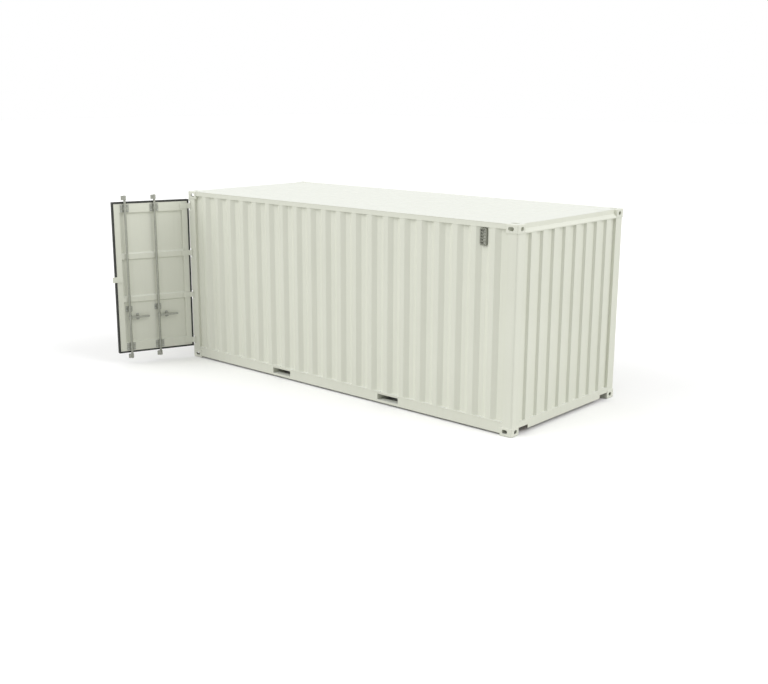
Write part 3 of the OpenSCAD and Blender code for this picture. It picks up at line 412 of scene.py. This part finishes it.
def finishParts():
    slotOf = {s["node"]: s["material_slot"] for s in frame["record"]["subparts"]}
    for name, part in nodes.items():
        finish = castPaint if name.endswith("_castings") else finishBySlot[slotOf[name]]
        part.data.materials.clear()
        part.data.materials.append(finish)


finishParts()
print("parts finished")


def addPiece(name, shape, finish, body):  # shape is a mesh or a curve
    shape.materials.append(finish)
    piece = bpy.data.objects.new(name, shape)
    scene.collection.objects.link(piece)
    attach(piece, body)
    return piece


def meshFrom(name, bm):
    bmesh.ops.recalc_face_normals(bm, faces=bm.faces)
    mesh = bpy.data.meshes.new(name)
    bm.to_mesh(mesh)
    bm.free()
    return mesh


def addRings(bm, place, rings, sides, turn=0.0):  # rings of (radius, height) from the seat up, closed at both ends
    loops = []
    for radius, height in rings:
        angles = [2 * math.pi * i / sides + turn for i in range(sides)]
        loops.append([bm.verts.new(place @ Vector((radius * math.cos(a), radius * math.sin(a), height)))
                      for a in angles])
    for low, high in zip(loops, loops[1:]):
        for i in range(sides):
            bm.faces.new((low[i], low[(i + 1) % sides], high[(i + 1) % sides], high[i]))
    bm.faces.new(loops[0][::-1])
    bm.faces.new(loops[-1])


def scaled(profile, size):
    return [(radius * size, height * size) for radius, height in profile]


def seatOn(point, out):  # place for a fastener whose head points along out
    place = out.to_track_quat("Z", "Y").to_matrix().to_4x4()
    place.translation = point
    return place


# washer and hexagon head as (radius, height), in sizes of the thread
boltShape = {"washer": [(1.1, 0), (1.1, 0.15), (1.034, 0.2)], "washerSides": 20,
             "head": [(0.92, 0.18), (0.92, 0.7325), (0.7912, 0.83)], "headSides": 6, "headTurn": 0.26}


def addBolt(bm, point, out, thread):
    place = seatOn(point, out)
    addRings(bm, place, scaled(boltShape["washer"], thread), boltShape["washerSides"])
    addRings(bm, place, scaled(boltShape["head"], thread), boltShape["headSides"], boltShape["headTurn"])


# low domed head as (radius, height), in sizes of its own radius
rivetShape = {"dome": [(1, 0), (0.92, 0.25), (0.62, 0.48), (0.25, 0.58)], "sides": 12}


def addRivet(bm, point, out, radius):
    addRings(bm, seatOn(point, out), scaled(rivetShape["dome"], radius), rivetShape["sides"])


def solidsOf(name):  # boxes of the separate solids in a part, lowest first
    mesh = nodes[name].data
    sameSpot, sameRow = 5, 3  # decimals of a metre
    spots = [tuple(round(c, sameSpot) for c in v.co) for v in mesh.vertices]
    home = {s: s for s in spots}

    def rootOf(s):
        while home[s] != s:
            home[s] = home[home[s]]
            s = home[s]
        return s

    for face in mesh.polygons:
        first = rootOf(spots[face.vertices[0]])
        for v in face.vertices[1:]:
            home[rootOf(spots[v])] = first
    groups = {}
    for s in home:
        groups.setdefault(rootOf(s), []).append(s)
    boxes = [(Vector(map(min, zip(*g))), Vector(map(max, zip(*g)))) for g in groups.values()]
    return sorted(boxes, key=lambda b: (round(b[0].z, sameRow), round(b[0].y, sameRow), b[0].x))


# the doors, in metres with the door shut: u is out from the middle of the box, d is sideways from its centre plane
# the left door is shut at rest, so its boxes give the sizes of both
leafLow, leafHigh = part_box("left_door_frame")
panelLow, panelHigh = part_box("left_door_panel")
doorSheet = 0.002  # steel of the door panels
doorSet = {"inside": -leafHigh.x, "panel": doorSheet - panelHigh.x, "freeEdge": leafLow.y,
           "hingeEdge": leafHigh.y, "foot": leafLow.z, "head": leafHigh.z}
hingePin = Vector(joints["right_door_hinge"]["pos_m"])
openAngle = math.radians(-joints["right_door_hinge"]["range_deg"][0])  # the right door stands this far open


def onDoor(side, u, d, z):
    if side == "left":
        return Vector((-u, d, z))
    return hingePin + Matrix.Rotation(openAngle, 3, "Z") @ (Vector((-u, -d, z)) - hingePin)


def doorOut(side):
    return (onDoor(side, 1, 0, 0) - onDoor(side, 0, 0, 0)).normalized()


# bolts through the feet of the bar brackets and handle catches
footBolts = {"thread": 0.013, "plate": 0.006, "bracketInset": 0.017, "catchInset": 0.008}
brackets = solidsOf("left_bar_brackets")
catches = solidsOf("left_handle_catches")


def buildBolts(side, look):
    bm = bmesh.new()
    spots = []
    inset = look["bracketInset"]
    for low, high in brackets:
        spots += [(-high.x, d, z) for d in (low.y + inset, high.y - inset)
                  for z in (low.z + inset, high.z - inset)]
    inset = look["catchInset"]
    for low, high in catches:
        spots += [(-high.x, (low.y + high.y) / 2, z) for z in (low.z + inset, high.z - inset)]
    for u, d, z in spots:
        addBolt(bm, onDoor(side, u + look["plate"], d, z), doorOut(side), look["thread"])
    name = side + "BracketBolts"
    addPiece(name, meshFrom(name, bm), platedZinc, side + "_door")


# flat retainer strips riveted over the inner edge of the gasket
gasketStrip = {"setIn": 0.006, "width": 0.026, "thick": 0.002, "gap": 0.001, "rivetPitch": 0.152, "rivet": 0.0045}


def addStrip(bm, side, u0, u1, d0, d1, z0, z1):
    corners = [bm.verts.new(onDoor(side, u, d, z)) for u in (u0, u1) for d in (d0, d1) for z in (z0, z1)]
    for face in ((0, 1, 3, 2), (4, 6, 7, 5), (0, 4, 5, 1), (2, 3, 7, 6), (0, 2, 6, 4), (1, 5, 7, 3)):
        bm.faces.new([corners[i] for i in face])


def buildGasketStrips(side, look):
    bm = bmesh.new()
    inside = doorSet["inside"]
    face = inside - look["thick"]
    low, high = doorSet["foot"] + look["setIn"], doorSet["head"] - look["setIn"]
    near, far = doorSet["freeEdge"] + look["setIn"], doorSet["hingeEdge"] - look["setIn"]
    w, gap = look["width"], look["gap"]
    for d in (near, far - w):
        addStrip(bm, side, face, inside, d, d + w, low, high)
    for z in (low, high - w):
        addStrip(bm, side, face, inside, near + w + gap, far - w - gap, z, z + w)
    back = -doorOut(side)
    tall, wide = high - low - w, far - near - w  # between the rivets in the corners
    count = round(tall / look["rivetPitch"])
    for i in range(count + 1):
        z = low + w / 2 + tall * i / count
        for d in (near + w / 2, far - w / 2):
            addRivet(bm, onDoor(side, face, d, z), back, look["rivet"])
    count = round(wide / look["rivetPitch"])
    for i in range(1, count):
        d = near + w / 2 + wide * i / count
        for z in (low + w / 2, high - w / 2):
            addRivet(bm, onDoor(side, face, d, z), back, look["rivet"])
    name = side + "GasketStrips"
    addPiece(name, meshFrom(name, bm), galvanised, side + "_door")


# pressed collars that hold each lock bar up in its middle bracket, and the rivets through the handle hubs
collar = {"inner": 0.0171, "outer": 0.0235, "tall": 0.016, "bevel": 0.002, "lift": 0.032, "sides": 32,
          "hubRadius": 0.025, "rivetLift": 0.021, "rivet": 0.006, "rivetSink": 0.0006}
middleRow = sum(c.z for c in brackets[len(brackets) // 2]) / 2
hubRow = sum(c.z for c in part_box("left_inner_handle")) / 2


def addCollar(bm, centre, look):
    half, bevel, sides = look["tall"] / 2, look["bevel"], look["sides"]
    profile = [(look["inner"], -half), (look["outer"] - bevel, -half), (look["outer"], bevel - half),
               (look["outer"], half - bevel), (look["outer"] - bevel, half), (look["inner"], half)]
    angles = [2 * math.pi * i / sides for i in range(sides)]
    loops = [[bm.verts.new(centre + Vector((r * math.cos(a), r * math.sin(a), h))) for a in angles]
             for r, h in profile]
    for low, high in zip(loops, loops[1:] + loops[:1]):
        for i in range(sides):
            bm.faces.new((low[i], low[(i + 1) % sides], high[(i + 1) % sides], high[i]))


def buildCollars(side, which, look):
    axis = Vector(joints[side + "_" + which + "_bar_turn"]["pos_m"])
    bm = bmesh.new()
    for z in (middleRow - look["lift"], middleRow + look["lift"]):
        addCollar(bm, axis + Vector((0, 0, z)), look)
    out = doorOut(side)
    for lift in (-look["rivetLift"], look["rivetLift"]):
        point = axis + out * (look["hubRadius"] - look["rivetSink"]) + Vector((0, 0, hubRow + lift))
        addRivet(bm, point, out, look["rivet"])
    name = side + which.capitalize() + "BarCollars"
    addPiece(name, meshFrom(name, bm), galvanised, side + "_" + which + "_lock")


# domed heads over the ends of the hinge pins, the dome as (radius, height) in sizes of the radius
pinHead = {"radius": 0.0125, "pinStand": 0.003, "dome": [(1, 0), (1, 0.24), (0.85, 0.4), (0.5, 0.52)], "sides": 24}


def buildPinHeads(side, look):
    x, y, _ = joints[side + "_door_hinge"]["pos_m"]
    stand = look["pinStand"]
    bm = bmesh.new()
    for low, high in solidsOf(side + "_hinge_lugs"):
        for z, way in ((low.z + stand, -1), (high.z - stand, 1)):
            place = seatOn(Vector((x, y, z)), Vector((0, 0, way)))
            addRings(bm, place, scaled(look["dome"], look["radius"]), look["sides"])
    name = side + "PinHeads"
    addPiece(name, meshFrom(name, bm), paint, "container")


for side in ("right", "left"):
    buildBolts(side, footBolts)
    buildGasketStrips(side, gasketStrip)
    buildPinHeads(side, pinHead)
    for which in ("inner", "outer"):
        buildCollars(side, which, collar)
print("door fittings built")


# rivets that hold the vent hoods
ventRivet = {"radius": 0.0045, "inset": 0.015}


def buildVentRivets(look):
    bm = bmesh.new()
    for low, high in solidsOf("vents"):
        out = Vector((0, 1 if low.y > 0 else -1, 0))
        face = high.y if low.y > 0 else low.y
        for x in (low.x + look["inset"], high.x - look["inset"]):
            for z in (low.z + look["inset"], high.z - look["inset"]):
                addRivet(bm, Vector((x, face, z)), out, look["radius"])
    addPiece("ventRivets", meshFrom("ventRivets", bm), platedZinc, "container")


buildVentRivets(ventRivet)
print("vent hoods riveted")


# hand welded beads where sheet meets rail, tube, post, casting and door frame
weld = {"radius": 0.0035, "roundness": 1, "near": 1e-4, "facing": 0.2}


def endSeams(name, out, axis):  # edges of a part's outer skin at both its ends along x, y or z
    mesh = nodes[name].data
    seams = []
    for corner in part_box(name):
        for face in mesh.polygons:
            if face.normal.dot(out) > weld["facing"]:
                points = [mesh.vertices[v].co.copy() for v in face.vertices]
                ends = [p for p in points if abs(p[axis] - corner[axis]) < weld["near"]]
                if len(ends) > 1:
                    seams.append(ends)
    return seams


def buildBeads(name, lines, body):
    curve = bpy.data.curves.new(name, "CURVE")
    curve.dimensions = "3D"
    curve.bevel_depth = weld["radius"]
    curve.bevel_resolution = weld["roundness"]
    curve.use_fill_caps = True
    for line in lines:
        spline = curve.splines.new("POLY")
        spline.points.add(len(line) - 1)
        for point, where in zip(spline.points, line):
            point.co = (*where, 1)
    addPiece(name, curve, weldPaint, body)


def shellBeads():
    alongX, alongY, alongZ = range(3)
    ahead, up = Vector((1, 0, 0)), Vector((0, 0, 1))
    lines = []
    for side, way in (("right", -1), ("left", 1)):
        out = Vector((0, way, 0))
        wall = side + "_side_wall"
        lines += endSeams(wall, out, alongZ) + endSeams(wall, out, alongX)
        for rail in ("bottom_" + side + "_rail", "top_" + side + "_rail"):
            lines += endSeams(rail, out, alongX)
        for end, towardsEnd in (("front", 1), ("rear", -1)):
            lines += endSeams(end + "_" + side + "_post", Vector((towardsEnd, way, 0)).normalized(), alongZ)
    lines += endSeams("front_wall", ahead, alongZ) + endSeams("front_wall", ahead, alongY)
    return lines + endSeams("roof", up, alongY)


def doorBeads(side):
    ends = (panelLow.y, panelHigh.y)
    return [[onDoor(side, doorSet["panel"], d, z) for d in ends] for z in (panelLow.z, panelHigh.z)]


buildBeads("shellWelds", shellBeads(), "container")
for side in ("right", "left"):
    buildBeads(side + "DoorWelds", doorBeads(side), side + "_door")
print("weld beads laid")


# plywood sheets screwed to the crossmembers, the screw's head as (radius, height) with a sunk drive
floorSheets = {"rows": 2, "lengths": 3, "gap": 0.003, "edge": 0.0015, "edgeSteps": 2, "topNear": 1e-5,
               "screwPitch": 0.145, "screwSink": 0.0008, "screwShift": 0.018, "screwSides": 10, "margin": 0.06,
               "screwHead": [(0.006, 0), (0.006, 0.001), (0.0051, 0.0013), (0.0021, 0.0013), (0.0018, 0.0006)]}
floorLow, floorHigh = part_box("plywood_floor")
beams = sorted((a.x + b.x) / 2 for a, b in solidsOf("crossmembers"))


def sheetCuts(count):  # ends of the sheets, each joint on the nearest crossmember
    evenly = [floorLow.x + (floorHigh.x - floorLow.x) * i / count for i in range(1, count)]
    return [floorLow.x, *(min(beams, key=lambda x: abs(x - cut)) for cut in evenly), floorHigh.x]


def buildBoards(cuts, look):
    bm = bmesh.new()
    wide = (floorHigh.y - floorLow.y) / look["rows"]
    half = look["gap"] / 2
    for x0, x1 in zip(cuts, cuts[1:]):
        for row in range(look["rows"]):
            y0 = floorLow.y + row * wide
            a = Vector((x0 + half, y0 + half, floorLow.z))
            b = Vector((x1 - half, y0 + wide - half, floorHigh.z))
            for v in bmesh.ops.create_cube(bm, size=1.0)["verts"]:
                v.co = Vector(((a[i] + b[i]) / 2 + v.co[i] * (b[i] - a[i]) for i in range(3)))
    top = [e for e in bm.edges if all(v.co.z > floorHigh.z - look["topNear"] for v in e.verts)]
    bmesh.ops.bevel(bm, geom=top, offset=look["edge"], segments=look["edgeSteps"], affect="EDGES")
    boards = addPiece("floorBoards", meshFrom("floorBoards", bm), floorVeneer, "container")
    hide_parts("plywood_floor")


def buildScrews(cuts, look):
    bm = bmesh.new()
    across = int((floorHigh.y - floorLow.y - 2 * look["margin"]) / look["screwPitch"])
    for x in beams:
        shift = look["screwShift"] if x in cuts else 0  # clear of the joint between two sheets
        for k in range(across + 1):
            y = (k - across / 2) * look["screwPitch"]
            place = seatOn(Vector((x + shift, y, floorHigh.z - look["screwSink"])), Vector((0, 0, 1)))
            addRings(bm, place, look["screwHead"], look["screwSides"])
    addPiece("floorScrews", meshFrom("floorScrews", bm), platedZinc, "container")


sheetEnds = sheetCuts(floorSheets["lengths"])
buildBoards(sheetEnds, floorSheets)
buildScrews(sheetEnds, floorSheets)
print("floor laid")


roundLimit = 30  # degrees, sharper edges of the added pieces stay crisp


def shadeRound(limit):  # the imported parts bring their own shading
    packed = set(nodes.values())
    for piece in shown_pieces():
        if piece.type == "MESH" and piece not in packed:
            piece.data.polygons.foreach_set("use_smooth", [True] * len(piece.data.polygons))
            piece.data.set_sharp_from_angle(angle=math.radians(limit))


shadeRound(roundLimit)
print("shading set")
